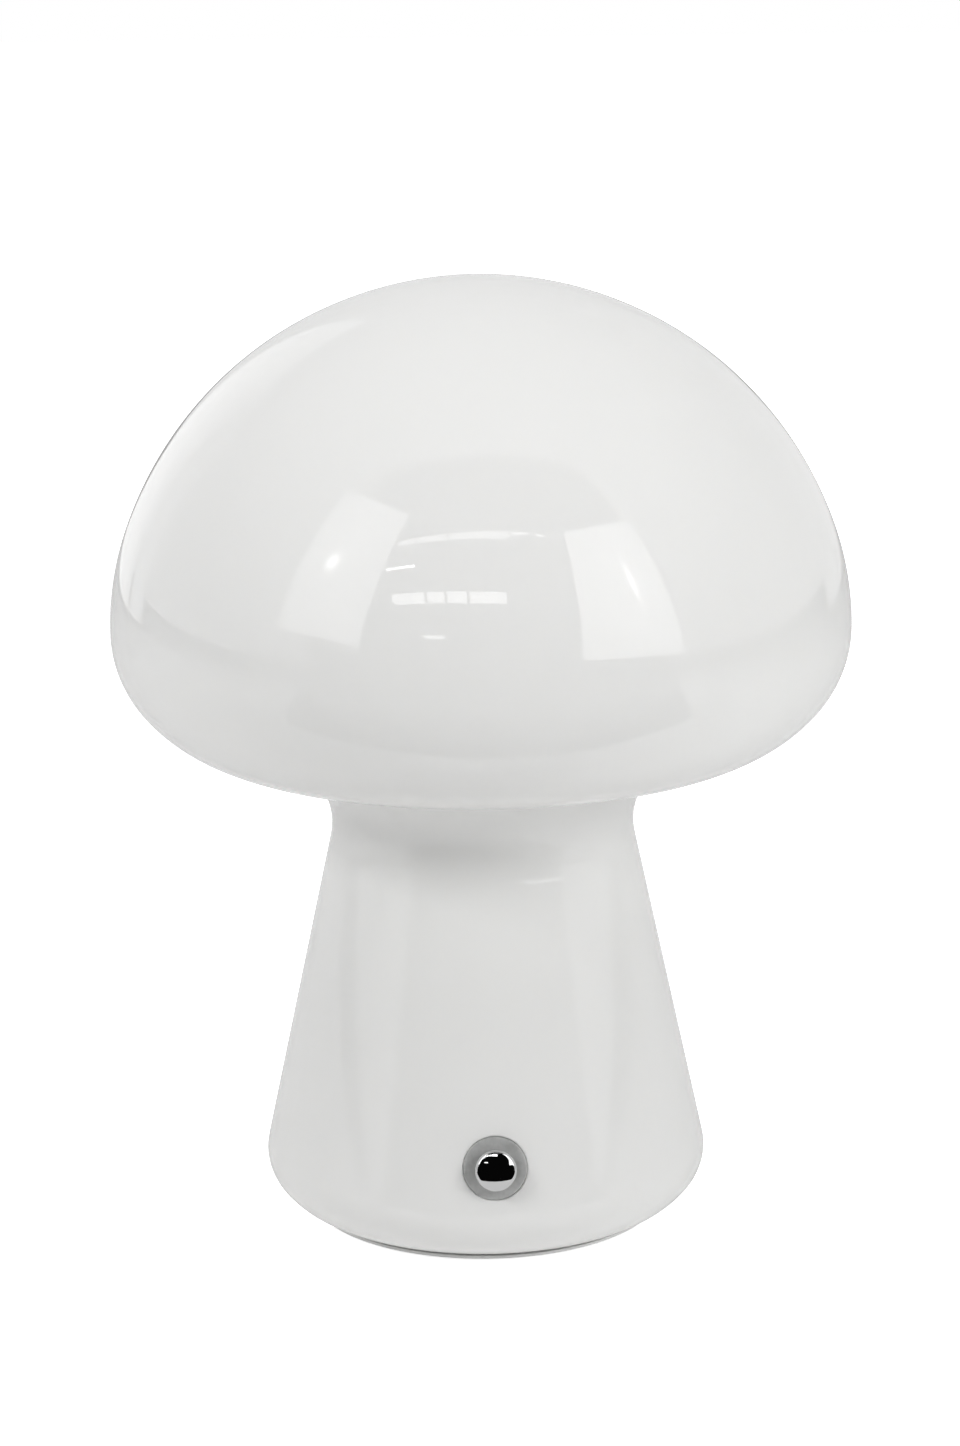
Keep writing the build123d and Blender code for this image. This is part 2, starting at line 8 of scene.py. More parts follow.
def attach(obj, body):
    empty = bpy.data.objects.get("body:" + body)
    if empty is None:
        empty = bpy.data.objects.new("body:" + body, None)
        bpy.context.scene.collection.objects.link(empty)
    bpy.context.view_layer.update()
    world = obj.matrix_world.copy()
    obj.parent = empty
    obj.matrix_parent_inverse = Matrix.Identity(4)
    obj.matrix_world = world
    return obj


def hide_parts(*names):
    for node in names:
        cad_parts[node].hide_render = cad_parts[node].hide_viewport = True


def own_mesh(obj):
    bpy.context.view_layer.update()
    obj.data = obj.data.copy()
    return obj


# A cordless mushroom lamp of blown opal glass. Metres, +Z up, the button faces -Y.
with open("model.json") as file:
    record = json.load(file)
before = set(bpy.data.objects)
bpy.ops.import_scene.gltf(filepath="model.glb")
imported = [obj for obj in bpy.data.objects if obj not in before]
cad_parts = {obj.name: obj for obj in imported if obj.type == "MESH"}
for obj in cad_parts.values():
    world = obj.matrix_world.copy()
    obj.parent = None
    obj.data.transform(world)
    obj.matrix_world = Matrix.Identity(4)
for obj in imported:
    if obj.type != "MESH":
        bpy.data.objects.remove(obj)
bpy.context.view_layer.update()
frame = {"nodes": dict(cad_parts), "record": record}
nodes = frame["nodes"]
print("frame loaded:", len(nodes), "nodes")


class Value:  # an output socket; arithmetic on it adds Math nodes
    def __init__(self, tree, node, socket):
        self.tree, self.node, self.socket = tree, node, socket

    def out(self, name):  # another output of the same node
        return Value(self.tree, self.node, self.node.outputs[name])

    def math(self, operation, *others):  # this value comes first
        return self.tree.math(operation, self, *others)

    def __add__(self, other):
        return self.math("ADD", other)

    def __radd__(self, other):
        return self.tree.math("ADD", other, self)

    def __sub__(self, other):
        return self.math("SUBTRACT", other)

    def __rsub__(self, other):
        return self.tree.math("SUBTRACT", other, self)

    def __mul__(self, other):
        return self.math("MULTIPLY", other)

    def __rmul__(self, other):
        return self.tree.math("MULTIPLY", other, self)

    def __truediv__(self, other):
        return self.math("DIVIDE", other)

    def __rtruediv__(self, other):
        return self.tree.math("DIVIDE", other, self)

    def __pow__(self, other):
        return self.math("POWER", other)


class Tree:  # makes nodes in one shader or geometry tree
    def __init__(self, nodeTree):
        self.nodeTree = nodeTree

    def make(self, kind, settings=None, inputs=None, output=0):
        node = self.nodeTree.nodes.new(kind)
        for name, value in (settings or {}).items():
            setattr(node, name, value)
        for key, value in (inputs or {}).items():
            if isinstance(value, Value):
                self.nodeTree.links.new(value.socket, node.inputs[key])
            else:
                node.inputs[key].default_value = value
        return Value(self, node, node.outputs[output]) if node.outputs else None

    def math(self, operation, *values):
        return self.make("ShaderNodeMath", {"operation": operation}, dict(enumerate(values)))


def addObject(name, data):  # puts a mesh, light or camera in the scene
    item = bpy.data.objects.new(name, data)
    bpy.context.collection.objects.link(item)
    return item


def plainMesh(name, points, edges=(), faces=()):
    mesh = bpy.data.meshes.new(name)
    mesh.from_pydata(points, edges, faces)
    return mesh


# The camera stands at the photograph's viewpoint: degrees and metres, the lens in millimetres
photoView = {"pitch": 13.6, "turn": -2.38, "roll": 0.547, "distance": 0.847, "aimHeight": 0.1229,
             "aside": -0.000445, "lens": 85.82, "sensor": 36, "nearest": 0.01, "farthest": 50}


def placeCamera(view):
    pitch, roll = math.radians(view["pitch"]), math.radians(view["roll"])
    turn = Matrix.Rotation(math.radians(view["turn"]), 3, "Z")
    forward = turn @ Vector((0, math.cos(pitch), -math.sin(pitch)))
    up = turn @ Vector((0, math.sin(pitch), math.cos(pitch)))
    right = turn @ Vector((1, 0, 0))
    imageRight = right * math.cos(roll) - up * math.sin(roll)
    imageUp = right * math.sin(roll) + up * math.cos(roll)
    data = bpy.data.cameras.new("photoCamera")
    data.lens, data.sensor_width = view["lens"], view["sensor"]
    data.clip_start, data.clip_end = view["nearest"], view["farthest"]
    camera = addObject("photoCamera", data)
    matrix = Matrix((imageRight, imageUp, -forward)).transposed().to_4x4()
    matrix.translation = -forward * view["distance"] + turn @ Vector((view["aside"], 0, 0))
    matrix.translation += Vector((0, 0, view["aimHeight"]))
    camera.matrix_world = matrix
    bpy.context.scene.camera = camera


placeCamera(photoView)
print("camera placed")


# The studio: a white floor, lights that no gloss shows, and cards that only the gloss shows
studio = {"middle": (0, 0, 0.15), "worldLight": 0.13, "seenInGloss": 0.80}
# The floor's glow round the foot is painted light: seen only by diffuse rays, it fills the glass's heel
floorLook = {"size": 14.0, "drop": 0.0001, "colour": 0.86, "glow": 0.66, "glowFar": 0.5, "farFrom": 0.5,
             "glowInGloss": 0.12, "footGlow": 0.55, "footReach": 0.05}
lights = {  # azimuth, elevation and distance; radiance 1 is white
    "leftLamp": {"at": (-51.5, 31, 1.0), "size": (0.20, 0.24), "radiance": 19.0},
    "rightLamp": {"at": (44.4, 25.3, 1.0), "size": (0.20, 0.28), "radiance": 10.8},
    "leftSoft": {"at": (-50, 28.5, 1.0), "size": (0.48, 0.72), "radiance": 0.2},
    "rightSoft": {"at": (42, 21, 1.0), "size": (0.50, 0.72), "radiance": 2.4},
    "ceiling": {"at": (0, 90, 1.2), "size": (1.6, 1.6), "radiance": 0.92},
    "leftSide": {"at": (-95, 20, 1.2), "size": (1.0, 1.0), "radiance": 0.80},
    "rightSide": {"at": (95, 20, 1.2), "size": (1.0, 1.0), "radiance": 0.32},
    "backLight": {"at": (180, 30, 1.5), "size": (2.0, 1.2), "radiance": 0.45},
}


def direction(azimuth, elevation):  # azimuth 0 is the front, +90 is +X
    a, e = math.radians(azimuth), math.radians(elevation)
    return Vector((math.sin(a) * math.cos(e), -math.cos(a) * math.cos(e), math.sin(e)))


def makeLight(name, values):
    data = bpy.data.lights.new(name, "AREA")
    data.shape = "RECTANGLE"
    data.size, data.size_y = values["size"]
    data.energy = values["radiance"] * math.pi * data.size * data.size_y
    light = addObject(name, data)
    azimuth, elevation, distance = values["at"]
    away = direction(azimuth, elevation)
    light.location = Vector(studio["middle"]) + away * distance
    light.rotation_euler = away.to_track_quat("Z", "Y").to_euler()
    light.visible_camera = light.visible_glossy = False


def cameraRays(tree):  # 1 on a camera ray; 1 on one that may have passed a clear piece
    camera = tree.make("ShaderNodeLightPath", output="Is Camera Ray")
    return camera, camera.math("MAXIMUM", camera.out("Is Transmission Ray"))


def makeWorld(values):
    world = bpy.data.worlds.new("studioWorld")
    bpy.context.scene.world = world
    world.use_nodes = True
    world.node_tree.nodes.clear()
    tree = Tree(world.node_tree)
    camera, seen = cameraRays(tree)
    glossy = camera.out("Is Glossy Ray")
    strength = seen + glossy * values["seenInGloss"] + (1 - seen - glossy) * values["worldLight"]
    background = tree.make("ShaderNodeBackground", inputs={"Color": (1, 1, 1, 1), "Strength": strength})
    tree.make("ShaderNodeOutputWorld", inputs={"Surface": background})


def flatSheet(name, corners):
    return addObject(name, plainMesh(name, corners, faces=[tuple(range(len(corners)))]))


def blankMaterial(name, sheet):
    material = bpy.data.materials.new(name)
    material.use_nodes = True
    material.node_tree.nodes.clear()
    sheet.data.materials.append(material)
    return Tree(material.node_tree)


def objectPlace(tree):
    return tree.make("ShaderNodeTexCoord", output="Object")


def makeFloor(values):  # just below the foot, and open to a view from below
    half, under, grey = values["size"] / 2, -values["drop"], values["colour"]
    floor = flatSheet("floor", [(-half, -half, under), (half, -half, under), (half, half, under),
                                (-half, half, under)])
    tree = blankMaterial("studioFloor", floor)
    camera, seen = cameraRays(tree)
    away = tree.make("ShaderNodeVectorMath", {"operation": "LENGTH"}, {0: objectPlace(tree)}, output="Value")
    far = (away - values["farFrom"]).math("MAXIMUM", 0.0)
    near = ((away / values["footReach"]) ** 2.0 * -1.0).math("EXPONENT")  # painted light: a pool of glow on the floor round the foot, seen only by diffuse rays, that fills the glass's heel
    strength = seen * (far * values["glowFar"] + values["glow"])
    strength = strength + camera.out("Is Glossy Ray") * values["glowInGloss"]
    strength = strength + camera.out("Is Diffuse Ray") * near * values["footGlow"]
    paper = tree.make("ShaderNodeBsdfDiffuse", inputs={"Color": (grey, grey, grey, 1)})
    glow = tree.make("ShaderNodeEmission", inputs={"Color": (1, 1, 1, 1), "Strength": strength})
    lit = tree.make("ShaderNodeAddShader", inputs={0: paper, 1: glow})
    below = tree.make("ShaderNodeNewGeometry", output="Backfacing") * camera
    clear = tree.make("ShaderNodeBsdfTransparent")
    shown = tree.make("ShaderNodeMixShader", inputs={0: below, 1: lit, 2: clear})
    tree.make("ShaderNodeOutputMaterial", inputs={"Surface": shown})


# What only the gloss sees. Corners are azimuth and elevation, clockwise from the upper left. "glow" is the
# brightness at the middle and the edge. "bars" is where dark bars part a strip into panes. "lamp" is one that
# shows through a box: its place across and up, half width and half height, as shares, and its brightness
cards = {
    "leftBox": {"away": 0.75, "corners": ((-60.1, 49), (-30.7, 47.7), (-37, 7.5), (-63.2, 8.8)),
                "glow": (2.5, 2.1), "lamp": (0.33, 0.545, 0.06, 0.05, 6.5)},
    "rightBox": {"away": 0.75, "corners": ((27.9, 41.9), (53.4, 39.9), (56.8, 0.3), (26, 2.7)),
                 "glow": (2.9, 2.4), "lamp": (0.545, 0.58, 0.045, 0.09, 6.0)},
    "highStrip": {"away": 1.0, "corners": ((-32, 40.5), (8.5, 45.2), (8.5, 42.6), (-31.7, 39.1)),
                  "glow": (2.9, 2.6), "bars": (0.17, 0.45)},
    "highDash": {"away": 1.0, "corners": ((9.4, 44.9), (15.5, 44.2), (15.5, 43.3), (9.4, 43.7)),
                 "glow": (4, 3.4)},
    "highDot": {"away": 1.0, "corners": ((18.2, 43.4), (21.7, 42.6), (21.4, 41.9), (18.2, 42.7)),
                "glow": (4, 3.4)},
    "shortStrip": {"away": 1.0, "corners": ((-33.8, 32.6), (-24.3, 34.8), (-24.2, 34.1), (-33.2, 32)),
                   "glow": (11, 10)},
    "lowStrip": {"away": 1.0, "corners": ((-30.3, 25.7), (5.8, 27.6), (5.6, 23.8), (-28.7, 22.4)),
                 "glow": (4.2, 3.8), "bars": (0.30, 0.47, 0.66)},
    "smallStrip": {"away": 1.0, "corners": ((-19.1, 12.7), (-12.5, 13.1), (-13.3, 11.5), (-18.7, 11.4)),
                   "glow": (4.2, 3.6), "bars": (0.7,)},
    "stemStrip": {"away": 1.0, "corners": ((-47, 8.4), (-37, 8.7), (-37, 4.7), (-47, 4.5)),
                  "glow": (0.75, 0.5)},
    "leftPanel": {"away": 1.6, "corners": ((-164, 38), (-138, 34), (-138, -12), (-164, -12)),
                  "glow": (1.28, 1.15)},
    "leftPanelSide": {"away": 1.6, "corners": ((-136.8, 34), (-126, 30), (-126, -8), (-136.8, -12)),
                      "glow": (1.08, 1.0)},
    "rightPanel": {"away": 1.6, "corners": ((128, 30), (164, 36), (164, -12), (128, -8)),
                   "glow": (0.92, 0.85)},
}
barWidth = 0.023  # of a strip's length
room = {"tableEdge": -0.150, "edgeHalfWidth": 0.25, "tableLift": 0.001, "depth": 3.0, "height": 9.0,
        "halfWidth": 4.3, "glow": 0.003}


def showToGloss(sheet, *alsoTo):
    for ray in ("camera", "diffuse", "glossy", "transmission", "volume_scatter", "shadow"):
        setattr(sheet, "visible_" + ray, ray == "glossy" or ray in alsoTo)


def cardGlow(tree, values):  # brightness over a card, from its own coordinates -1..1
    axes = tree.make("ShaderNodeSeparateXYZ", inputs={0: tree.make("ShaderNodeUVMap", {"uv_map": "card"})})
    across, up = (axes.out(axis) * 2 - 1 for axis in ("X", "Y"))
    fade = across * across + up * up
    bright, dim = values["glow"]
    strength = bright + fade.math("MINIMUM", 1.0) * (dim - bright)
    if "lamp" in values:
        x, y, wide, tall, glare = values["lamp"]
        off = ((across + 1 - 2 * x) / (2 * wide)) ** 2.0 + ((up + 1 - 2 * y) / (2 * tall)) ** 2.0
        strength = strength + (off * -1.0).math("EXPONENT") * glare
    return strength


def makeCard(name, values):
    leftTop, rightTop, rightLow, leftLow = (
        Vector(studio["middle"]) + direction(*corner) * values["away"] for corner in values["corners"])
    stops = [0.0]
    for bar in values.get("bars", ()):
        stops += [bar - barWidth / 2, bar + barWidth / 2]
    stops.append(1.0)
    for number in range(0, len(stops), 2):
        first, last = stops[number], stops[number + 1]
        corners = (leftTop.lerp(rightTop, first), leftTop.lerp(rightTop, last), leftLow.lerp(rightLow, last),
                   leftLow.lerp(rightLow, first))
        pane = flatSheet(f"{name}{number // 2}", corners)
        layer = pane.data.uv_layers.new(name="card")
        for loop, spot in zip(layer.data, ((0, 1), (1, 1), (1, 0), (0, 0))):
            loop.uv = spot
        tree = blankMaterial(pane.name, pane)
        glow = tree.make("ShaderNodeEmission", inputs={"Strength": cardGlow(tree, values)})
        tree.make("ShaderNodeOutputMaterial", inputs={"Surface": glow})
        showToGloss(pane)


def makeRoom(values):  # the dark room behind the camera, and the dark table before it
    side, near, far = values["halfWidth"], values["edgeHalfWidth"], -values["depth"]
    edge, lift, high = values["tableEdge"], values["tableLift"], values["height"]
    table = [(-near, edge, lift), (near, edge, lift), (side, far, lift), (-side, far, lift)]
    wall = [(-side, far, lift), (side, far, lift), (side, far, high), (-side, far, high)]
    for name, corners in (("darkTable", table), ("darkWall", wall)):
        sheet = flatSheet(name, corners)
        tree = blankMaterial(name, sheet)
        dark = tree.make("ShaderNodeEmission", inputs={"Strength": values["glow"]})
        tree.make("ShaderNodeOutputMaterial", inputs={"Surface": dark})
        showToGloss(sheet, *(("diffuse", "shadow") if name == "darkWall" else ()))


bpy.context.scene.view_settings.view_transform = "Standard"
makeWorld(studio)
makeFloor(floorLook)
for lightName, lightValues in lights.items():
    makeLight(lightName, lightValues)
for cardName, cardValues in cards.items():
    makeCard(cardName, cardValues)
makeRoom(room)
print("studio lit")


# Finishes: what varies over a piece follows its Object coordinates
finishes = {}


def newFinish(name, constants=None):  # constants go straight on the shader's own sockets
    material = bpy.data.materials.new(name)
    material.use_nodes = True
    shader = material.node_tree.nodes["Principled BSDF"]
    for socket, value in (constants or {}).items():
        shader.inputs[socket].default_value = value
    finishes[name] = material
    return shader, objectPlace(Tree(material.node_tree))


def connect(shader, **links):  # Base_Color=value links to the socket "Base Color"
    for name, value in links.items():
        value.tree.nodeTree.links.new(value.socket, shader.inputs[name.replace("_", " ")])


def noise(place, scale, detail=3.0, roughness=0.5):
    inputs = {"Vector": place, "Scale": scale, "Detail": detail, "Roughness": roughness}
    return place.tree.make("ShaderNodeTexNoise", inputs=inputs)


def spread(value, low, high):  # carries 0..1 to low..high
    return value * (high - low) + low


def shade(share, dark, light):  # mixes two colours
    inputs = {"Factor": share, 6: (*dark, 1), 7: (*light, 1)}
    return share.tree.make("ShaderNodeMix", {"data_type": "RGBA"}, inputs, output=2)


def darker(colour, share):
    return tuple(channel * share for channel in colour)


def bump(height, strength, distance):
    inputs = {"Height": height, "Strength": strength, "Distance": distance}
    return height.tree.make("ShaderNodeBump", inputs=inputs)


opalGlass = {"pale": (0.88, 0.88, 0.87), "dense": (0.86, 0.86, 0.845), "cloud": 9.0, "smear": 60.0,
             "roughness": (0.0, 0.004), "wave": 22.0, "waveStrength": 0.5, "waveHeight": 0.00008,
             "milk": 0.15, "milkDepth": 0.004, "milkTint": (1.0, 0.96, 0.9), "ior": 1.5}


def makeOpalGlass(v):
    shader, place = newFinish("opalGlass", {
        "IOR": v["ior"], "Subsurface Weight": v["milk"], "Subsurface Radius": v["milkTint"],
        "Subsurface Scale": v["milkDepth"]})
    cloud = noise(place, v["cloud"], detail=2.0)
    smear = noise(place, v["smear"], detail=4.0)
    wave = noise(place, v["wave"], detail=1.0)
    connect(shader, Base_Color=shade(cloud, v["dense"], v["pale"]), Roughness=spread(smear, *v["roughness"]),
            Normal=bump(wave, v["waveStrength"], v["waveHeight"]))


mouldedLook = {"grain": 900.0, "depth": 0.00002, "mottle": 35.0, "dark": 0.93, "swing": 0.06, "bump": 0.35}
mouldings = {  # and what differs from the common look
    "whiteAbs": {"colour": (0.80, 0.80, 0.79), "roughness": 0.45},
    "coverAbs": {"colour": (0.84, 0.84, 0.83), "roughness": 0.5},
    "blackPlastic": {"colour": (0.025, 0.025, 0.027), "roughness": 0.5},
    "naturalPlastic": {"colour": (0.83, 0.81, 0.75), "roughness": 0.42},
    "chipEpoxy": {"colour": (0.02, 0.02, 0.022), "roughness": 0.6, "grain": 2500.0},
    "chipFerrite": {"colour": (0.10, 0.10, 0.11), "roughness": 0.7, "grain": 2200.0, "depth": 0.00004},
    "ledPhosphor": {"colour": (0.93, 0.78, 0.22), "roughness": 0.35, "grain": 3000.0},
    "frostedDome": {"colour": (0.90, 0.90, 0.89), "roughness": 0.62, "grain": 1800.0},
}


def makeMoulded(name, v):
    shader, place = newFinish(name)
    mottle = noise(place, v["mottle"])
    texture = noise(place, v["grain"], detail=2.0)
    connect(shader, Base_Color=shade(mottle, darker(v["colour"], v["dark"]), v["colour"]),
            Roughness=spread(texture, v["roughness"] - v["swing"], v["roughness"] + v["swing"]),
            Normal=bump(texture, v["bump"], v["depth"]))


metalLook = {"stretch": (1.0, 1.0, 14.0), "lines": 420.0, "tarnish": 80.0, "dull": 0.88, "swing": 0.09,
             "bump": 0.12, "depth": 0.00001}
metals = {  # "stretch" packs the fine lines closer along one axis
    "springSteel": {"colour": (0.62, 0.62, 0.61), "roughness": 0.25},
    "screwSteel": {"colour": (0.60, 0.60, 0.58), "roughness": 0.3, "stretch": (1.0, 1.0, 1.0)},
    "sleeveChrome": {"colour": (0.72, 0.71, 0.70), "roughness": 0.16},
    "contactBrass": {"colour": (0.80, 0.60, 0.28), "roughness": 0.28},
    "socketSteel": {"colour": (0.62, 0.62, 0.63), "roughness": 0.22, "stretch": (1.0, 10.0, 1.0)},
    "columnAluminium": {"colour": (0.74, 0.74, 0.75), "roughness": 0.34},
    "spreaderAluminium": {"colour": (0.72, 0.72, 0.73), "roughness": 0.3, "stretch": (1.0, 1.0, 1.0)},
    "capacitorCan": {"colour": (0.62, 0.63, 0.65), "roughness": 0.3, "stretch": (1.0, 1.0, 6.0)},
}


def makeMetal(name, v):
    shader, place = newFinish(name, {"Metallic": 1.0})
    drawn = place.tree.make("ShaderNodeMapping", inputs={"Vector": place, "Scale": v["stretch"]})
    lines = noise(drawn, v["lines"])
    tarnish = noise(place, v["tarnish"])
    connect(shader, Base_Color=shade(tarnish, darker(v["colour"], v["dull"]), v["colour"]),
            Roughness=spread(lines, v["roughness"], v["roughness"] + v["swing"]),
            Normal=bump(lines, v["bump"], v["depth"]))


rubberLook = {"roughness": 0.55, "cloud": 240.0, "dark": 0.82, "dust": 1600.0, "swing": 0.08, "bump": 0.3,
              "depth": 0.00002, "ior": 1.41}
rubbers = {
    "footSilicone": {"colour": (0.45, 0.45, 0.45)},
    "cellFoam": {"colour": (0.05, 0.05, 0.05), "roughness": 0.85},
    "leadInsulation": {"colour": (0.62, 0.05, 0.04), "roughness": 0.45},
    "batteryInsulation": {"colour": (0.04, 0.04, 0.045), "roughness": 0.45},
}


def makeRubber(name, v):
    shader, place = newFinish(name, {"IOR": v["ior"]})
    cloud = noise(place, v["cloud"])
    dust = noise(place, v["dust"], detail=2.0)
    connect(shader, Base_Color=shade(cloud, darker(v["colour"], v["dark"]), v["colour"]),
            Roughness=spread(dust, v["roughness"] - v["swing"], v["roughness"] + v["swing"]),
            Normal=bump(dust, v["bump"], v["depth"]))


clearSilicone = {"pale": (0.56, 0.565, 0.56), "deep": (0.33, 0.335, 0.33), "blotch": 170.0, "grain": 1100.0,
                 "grainShare": 0.25, "contrast": 2.2, "roughness": (0.30, 0.46), "milk": 0.55,
                 "milkDepth": 0.0016, "ior": 1.41, "grainBump": 0.3, "bump": 0.3, "depth": 0.00005}


def makeClearSilicone(v):  # milky and slightly uneven, with blotches of two sizes
    shader, place = newFinish("clearSilicone", {
        "IOR": v["ior"], "Subsurface Weight": v["milk"], "Subsurface Radius": (1.0, 1.0, 1.0),
        "Subsurface Scale": v["milkDepth"]})
    blotch = noise(place, v["blotch"], detail=2.0, roughness=0.6)
    grain = noise(place, v["grain"])
    cloud = blotch * (1 - v["grainShare"]) + grain * v["grainShare"]
    cloud = ((cloud - 0.5) * v["contrast"] + 0.5).math("MAXIMUM", 0.0).math("MINIMUM", 1.0)
    connect(shader, Base_Color=shade(cloud, v["deep"], v["pale"]), Roughness=spread(grain, *v["roughness"]),
            Normal=bump(blotch + grain * v["grainBump"], v["bump"], v["depth"]))


laminateLook = {"coat": 0.4, "coatRoughness": 0.2, "trackWidth": 0.22, "bump": 0.4, "depth": 0.00004,
                "weave": 500.0, "roughness": (0.3, 0.45)}
laminates = {
    "boardLaminate": {"mask": (0.02, 0.17, 0.07), "track": (0.05, 0.30, 0.13), "trackScale": 620.0},
    "lightLaminate": {"mask": (0.86, 0.86, 0.84), "track": (0.74, 0.74, 0.70), "trackScale": 420.0},
}


def makeLaminate(name, v):
    shader, place = newFinish(name, {"Coat Weight": v["coat"], "Coat Roughness": v["coatRoughness"]})
    inputs = {"Vector": place, "Scale": v["trackScale"], "Randomness": 0.0}
    cells = place.tree.make("ShaderNodeTexVoronoi", {"distance": "MANHATTAN"}, inputs)
    track = cells.math("LESS_THAN", v["trackWidth"])
    connect(shader, Base_Color=shade(track, v["mask"], v["track"]), Normal=bump(track, v["bump"], v["depth"]),
            Roughness=spread(noise(place, v["weave"]), *v["roughness"]))


cellWrap = {"deep": (0.05, 0.20, 0.42), "pale": (0.08, 0.28, 0.55), "coat": 0.6, "coatRoughness": 0.15,
            "wrinkle": 130.0, "roughness": (0.25, 0.4), "bump": 0.3, "depth": 0.0001}


def makeCellWrap(v):
    shader, place = newFinish(
        "cellWrap", {"Coat Weight": v["coat"], "Coat Roughness": v["coatRoughness"]})
    wrinkle = noise(place, v["wrinkle"], detail=2.0)
    connect(shader, Base_Color=shade(wrinkle, v["deep"], v["pale"]),
            Roughness=spread(wrinkle, *v["roughness"]), Normal=bump(wrinkle, v["bump"], v["depth"]))


buttonChrome = {"deep": (0.56, 0.565, 0.57), "pale": (0.63, 0.63, 0.63), "haze": 300.0,
                "roughness": (0.01, 0.03), "wave": 160.0, "bump": 0.15, "depth": 0.00002}


def makeButtonChrome(v):
    shader, place = newFinish("buttonChrome", {"Metallic": 1.0})
    haze = noise(place, v["haze"], detail=4.0)
    connect(shader, Base_Color=shade(haze, v["deep"], v["pale"]), Roughness=spread(haze, *v["roughness"]),
            Normal=bump(noise(place, v["wave"], detail=2.0), v["bump"], v["depth"]))


makeOpalGlass(opalGlass)
makeClearSilicone(clearSilicone)
makeCellWrap(cellWrap)
makeButtonChrome(buttonChrome)
for makeFinish, common, several in (
        (makeMoulded, mouldedLook, mouldings), (makeMetal, metalLook, metals),
        (makeRubber, rubberLook, rubbers), (makeLaminate, laminateLook, laminates)):
    for finishName, own in several.items():
        makeFinish(finishName, {**common, **own})
print("finishes made:", len(finishes))


def finishOf(slotName):  # record slot opal_glass -> finish opalGlass
    words = slotName.split("_")
    return finishes[words[0] + "".join(word.capitalize() for word in words[1:])]


slotOf = {part["node"]: part["material_slot"] for part in frame["record"]["subparts"]}
for nodeName, node in nodes.items():
    for place in node.material_slots:
        place.material = finishOf(slotOf[nodeName])


# Meshes are loops of points joined by faces, or profiles that a geometry tree turns round the Z axis
def arcPoints(centre, radius, first, last, count=5):
    angles = [first + (last - first) * step / count for step in range(count + 1)]
    return [(centre[0] + radius * math.cos(a), centre[1] + radius * math.sin(a)) for a in angles]


def roundAngles(count):
    return [math.tau * step / count for step in range(count)]


def joinLoops(work, *loops):  # bands of faces; a last loop of one point closes them
    for first, second in zip(loops, loops[1:]):
        for k in range(len(first)):
            n = (k + 1) % len(first)
            beyond = (second[n], second[k]) if len(second) > 1 else (second[0],)
            work.faces.new((first[k], first[n], *beyond))


def smoothMesh(mesh, sharp):  # faces outwards, and smooth but for edges past an angle
    work = bmesh.new()
    work.from_mesh(mesh)
    bmesh.ops.recalc_face_normals(work, faces=work.faces)
    work.to_mesh(mesh)
    work.free()
    mesh.shade_smooth()
    mesh.set_sharp_from_angle(angle=math.radians(sharp))


def pieceFrom(name, work, finish, sharp):
    mesh = bpy.data.meshes.new(name)
    work.to_mesh(mesh)
    work.free()
    mesh.materials.append(finishes[finish])
    smoothMesh(mesh, sharp)
    return addObject(name, mesh)


def startTree(name, **inputs):  # a geometry tree with named inputs
    group = bpy.data.node_groups.new(name, "GeometryNodeTree")
    for socket, kind in {"Geometry": "Geometry", **inputs, "Finish": "Material"}.items():
        group.interface.new_socket(socket, in_out="INPUT", socket_type="NodeSocket" + kind)
    group.interface.new_socket("Geometry", in_out="OUTPUT", socket_type="NodeSocketGeometry")
    tree = Tree(group)
    return tree, tree.make("NodeGroupInput", output="Geometry")


def endTree(tree, given, geometry):
    real = tree.make("GeometryNodeRealizeInstances", inputs={"Geometry": geometry})
    coated = tree.make("GeometryNodeSetMaterial", inputs={"Geometry": real, "Material": given.out("Finish")})
    tree.make("NodeGroupOutput", inputs={"Geometry": coated})
    return tree.nodeTree


def applyTree(name, mesh, group, values):  # runs a tree on a mesh and keeps the result as a plain mesh
    carrier = addObject(name, mesh)
    modifier = carrier.modifiers.new("build", "NODES")
    modifier.node_group = group
    for item in group.interface.items_tree:
        if item.in_out == "INPUT" and item.name in values:
            modifier[item.identifier] = values[item.name]
    graph = bpy.context.evaluated_depsgraph_get()
    result = bpy.data.meshes.new_from_object(carrier.evaluated_get(graph))
    carrier.modifiers.clear()
    carrier.data = result
    result.polygons.foreach_set("material_index", [0] * len(result.polygons))
    result.materials.clear()
    result.materials.append(values["Finish"])
    return carrier


def spinTree():  # rolls a grid up, each of its columns on the profile's points
    tree, given = startTree("spinProfile", Segments="Int", Weld="Float")
    segments = given.out("Segments")
    points = tree.make("GeometryNodeAttributeDomainSize", inputs={"Geometry": given}, output="Point Count")
    sizes = {"Size X": 1.0, "Size Y": 1.0, "Vertices X": segments + 1, "Vertices Y": points}
    grid = tree.make("GeometryNodeMeshGrid", inputs=sizes)
    index = tree.make("GeometryNodeInputIndex")
    column = ((index + 0.5) / points).math("FLOOR")
    row = index - column * points
    sampled = {"Geometry": given, "Value": tree.make("GeometryNodeInputPosition"), "Index": row}
    at = tree.make("GeometryNodeSampleIndex", {"data_type": "FLOAT_VECTOR"}, sampled)
    axes = tree.make("ShaderNodeSeparateXYZ", inputs={"Vector": at})
    angle = column / segments * math.tau
    reach = axes.out("X")
    spot = {"X": reach * angle.math("SINE"), "Y": reach * angle.math("COSINE") * -1.0, "Z": axes.out("Z")}
    place = tree.make("ShaderNodeCombineXYZ", inputs=spot)
    turned = tree.make("GeometryNodeSetPosition", inputs={"Geometry": grid, "Position": place})
    weld = {"Geometry": turned, "Distance": given.out("Weld")}
    return endTree(tree, given, tree.make("GeometryNodeMergeByDistance", inputs=weld))


spinProfile = spinTree()
turning = {"weld": 1e-6, "sharp": 35}


